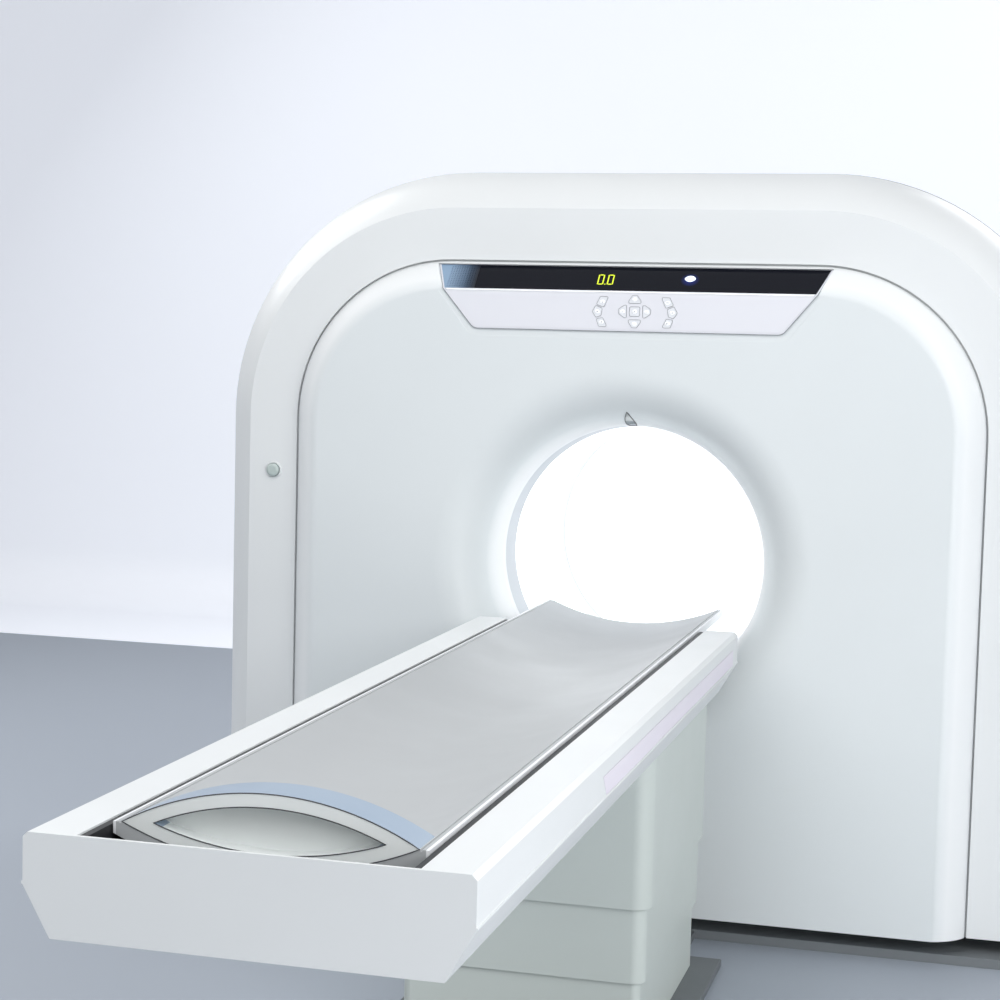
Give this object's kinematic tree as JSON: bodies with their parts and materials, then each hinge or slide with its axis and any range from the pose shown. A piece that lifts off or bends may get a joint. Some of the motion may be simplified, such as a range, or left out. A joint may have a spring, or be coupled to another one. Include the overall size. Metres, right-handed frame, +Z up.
{
  "type": "ct scanner",
  "caption": "Whole-body CT scanner: arched gantry with a lit round bore, slanted display and keypad, and a lifting table whose trough-shaped cradle slides through it.",
  "frame": {"origin": "on the floor under the bore axis, in the plane of the flat front cover", "axes": "+Z up, +Y from the table into the bore, +X to the right as seen from the table"},
  "size_m": [2.268, 3.46, 1.955],
  "materials": {
    "cover_white": "smooth satin paint on moulded covers",
    "panel_grey": "fine satin paint",
    "liner_white": "bright translucent white, lit from inside",
    "ring_grey": "satin",
    "seal_black": "matt",
    "console_shell": "fine satin",
    "display_black": "gloss black glass look",
    "display_light": "glowing yellow green",
    "grille_blue": "punched plate, blue grey",
    "keypad_film": "satin film, lavender grey",
    "key_grey": "satin",
    "window_grey": "smoked window",
    "button_grey": "satin grey green",
    "floor_plate": "textured dark grey paint",
    "frame_steel": "grey paint",
    "bearing_steel": "ground",
    "rotor_aluminium": "machined",
    "tube_paint": "cream paint",
    "detector_blue": "blue grey paint",
    "module_dark": "dark",
    "lead_grey": "dark cast metal",
    "box_grey": "grey paint",
    "copper_ring": "turned contact rings",
    "belt_rubber": "black",
    "motor_paint": "dark paint",
    "column_aluminium": "anodised",
    "pedestal_grey": "grey green satin paint",
    "stripe_lilac": "pale lilac film",
    "rail_black": "black anodised",
    "cradle_grey": "fine satin skin over carbon fibre",
    "board_blue": "blue grey satin"
  },
  "bodies": {
    "gantry": {"gantry_base": "floor_plate", "stator_frame": "frame_steel", "bearing_outer_ring": "bearing_steel", "brush_block": "module_dark", "drive_motor": "motor_paint", "drive_belt": "belt_rubber", "front_cover": "cover_white", "front_panel": "panel_grey", "panel_seal": "seal_black", "bore_rings": "ring_grey", "bore_liner": "liner_white", "rear_cover": "cover_white", "side_covers": "cover_white", "top_cover": "cover_white", "console_housing": "console_shell", "display_glass": "display_black", "display_symbols": "display_light", "speaker_grille": "grille_blue", "keypad_plate": "keypad_film", "laser_window": "window_grey", "table_base": "floor_plate", "columns_outer": "column_aluminium", "pedestal_cover_lower": "pedestal_grey"},
    "rotor": {"bearing_inner_ring": "bearing_steel", "rotor_disc": "rotor_aluminium", "rotor_bolts": "bearing_steel", "xray_tube": "tube_paint", "collimator": "lead_grey", "detector_housing": "detector_blue", "generator_box": "box_grey", "acquisition_box": "box_grey", "counterweight": "lead_grey", "slip_ring": "copper_ring"},
    "ball_cage": {"bearing_balls": "bearing_steel"},
    "pulley": {"motor_pulley": "bearing_steel"},
    "lift_middle": {"columns_middle": "column_aluminium", "pedestal_cover_middle": "pedestal_grey"},
    "table_top": {"columns_inner": "column_aluminium", "pedestal_cover_upper": "pedestal_grey", "table_frame": "frame_steel", "table_covers": "cover_white", "side_stripes": "stripe_lilac", "cradle_rails": "rail_black", "cradle_motor": "motor_paint"},
    "cradle": {"cradle_carriage": "column_aluminium", "cradle": "cradle_grey", "foot_board": "board_blue"},
    "stop_left": {"stop_button_left": "button_grey"},
    "stop_right": {"stop_button_right": "button_grey"},
    "key_up_cap": {"key_up": "key_grey"},
    "key_down_cap": {"key_down": "key_grey"},
    "key_left_cap": {"key_left": "key_grey"},
    "key_right_cap": {"key_right": "key_grey"},
    "key_centre_cap": {"key_centre": "key_grey"},
    "key_left_top_cap": {"key_left_top": "key_grey"},
    "key_left_middle_cap": {"key_left_middle": "key_grey"},
    "key_left_bottom_cap": {"key_left_bottom": "key_grey"},
    "key_right_top_cap": {"key_right_top": "key_grey"},
    "key_right_middle_cap": {"key_right_middle": "key_grey"},
    "key_right_bottom_cap": {"key_right_bottom": "key_grey"}
  },
  "joints": [
    {"name": "rotor_turn", "type": "hinge", "parent": "gantry", "child": "rotor", "pos_m": [0, 0.545, 0.95], "axis": [0, 1, 0], "continuous": true},
    {"name": "cage_turn", "type": "hinge", "parent": "gantry", "child": "ball_cage", "pos_m": [0, 0.545, 0.95], "axis": [0, 1, 0], "continuous": true},
    {"name": "pulley_turn", "type": "hinge", "parent": "gantry", "child": "pulley", "pos_m": [-0.86, 0.4875, 0.33], "axis": [0, 1, 0], "continuous": true},
    {"name": "table_lift", "type": "slide", "parent": "gantry", "child": "table_top", "axis": [0, 0, 1], "range_m": [-0.07, 0.05]},
    {"name": "middle_lift", "type": "slide", "parent": "gantry", "child": "lift_middle", "axis": [0, 0, 1], "range_m": [-0.035, 0.025]},
    {"name": "cradle_slide", "type": "slide", "parent": "table_top", "child": "cradle", "axis": [0, 1, 0], "range_m": [-0.05, 1.25]},
    {"name": "stop_left_press", "type": "slide", "parent": "gantry", "child": "stop_left", "axis": [0, 1, 0], "range_m": [0, 0.004], "stiffness_N_per_m": 1500},
    {"name": "stop_right_press", "type": "slide", "parent": "gantry", "child": "stop_right", "axis": [0, 1, 0], "range_m": [0, 0.004], "stiffness_N_per_m": 1500},
    {"name": "key_up_press", "type": "slide", "parent": "gantry", "child": "key_up_cap", "axis": [0, 1, 0], "range_m": [0, 0.0015], "stiffness_N_per_m": 800},
    {"name": "key_down_press", "type": "slide", "parent": "gantry", "child": "key_down_cap", "axis": [0, 1, 0], "range_m": [0, 0.0015], "stiffness_N_per_m": 800},
    {"name": "key_left_press", "type": "slide", "parent": "gantry", "child": "key_left_cap", "axis": [0, 1, 0], "range_m": [0, 0.0015], "stiffness_N_per_m": 800},
    {"name": "key_right_press", "type": "slide", "parent": "gantry", "child": "key_right_cap", "axis": [0, 1, 0], "range_m": [0, 0.0015], "stiffness_N_per_m": 800},
    {"name": "key_centre_press", "type": "slide", "parent": "gantry", "child": "key_centre_cap", "axis": [0, 1, 0], "range_m": [0, 0.0015], "stiffness_N_per_m": 800},
    {"name": "key_left_top_press", "type": "slide", "parent": "gantry", "child": "key_left_top_cap", "axis": [0, 1, 0], "range_m": [0, 0.0015], "stiffness_N_per_m": 800},
    {"name": "key_left_middle_press", "type": "slide", "parent": "gantry", "child": "key_left_middle_cap", "axis": [0, 1, 0], "range_m": [0, 0.0015], "stiffness_N_per_m": 800},
    {"name": "key_left_bottom_press", "type": "slide", "parent": "gantry", "child": "key_left_bottom_cap", "axis": [0, 1, 0], "range_m": [0, 0.0015], "stiffness_N_per_m": 800},
    {"name": "key_right_top_press", "type": "slide", "parent": "gantry", "child": "key_right_top_cap", "axis": [0, 1, 0], "range_m": [0, 0.0015], "stiffness_N_per_m": 800},
    {"name": "key_right_middle_press", "type": "slide", "parent": "gantry", "child": "key_right_middle_cap", "axis": [0, 1, 0], "range_m": [0, 0.0015], "stiffness_N_per_m": 800},
    {"name": "key_right_bottom_press", "type": "slide", "parent": "gantry", "child": "key_right_bottom_cap", "axis": [0, 1, 0], "range_m": [0, 0.0015], "stiffness_N_per_m": 800}
  ],
  "couplings": [
    {"joint": "cage_turn", "follows": "rotor_turn", "ratio": 0.4893},
    {"joint": "pulley_turn", "follows": "rotor_turn", "ratio": 13.583},
    {"joint": "middle_lift", "follows": "table_lift", "ratio": 0.5}
  ]
}
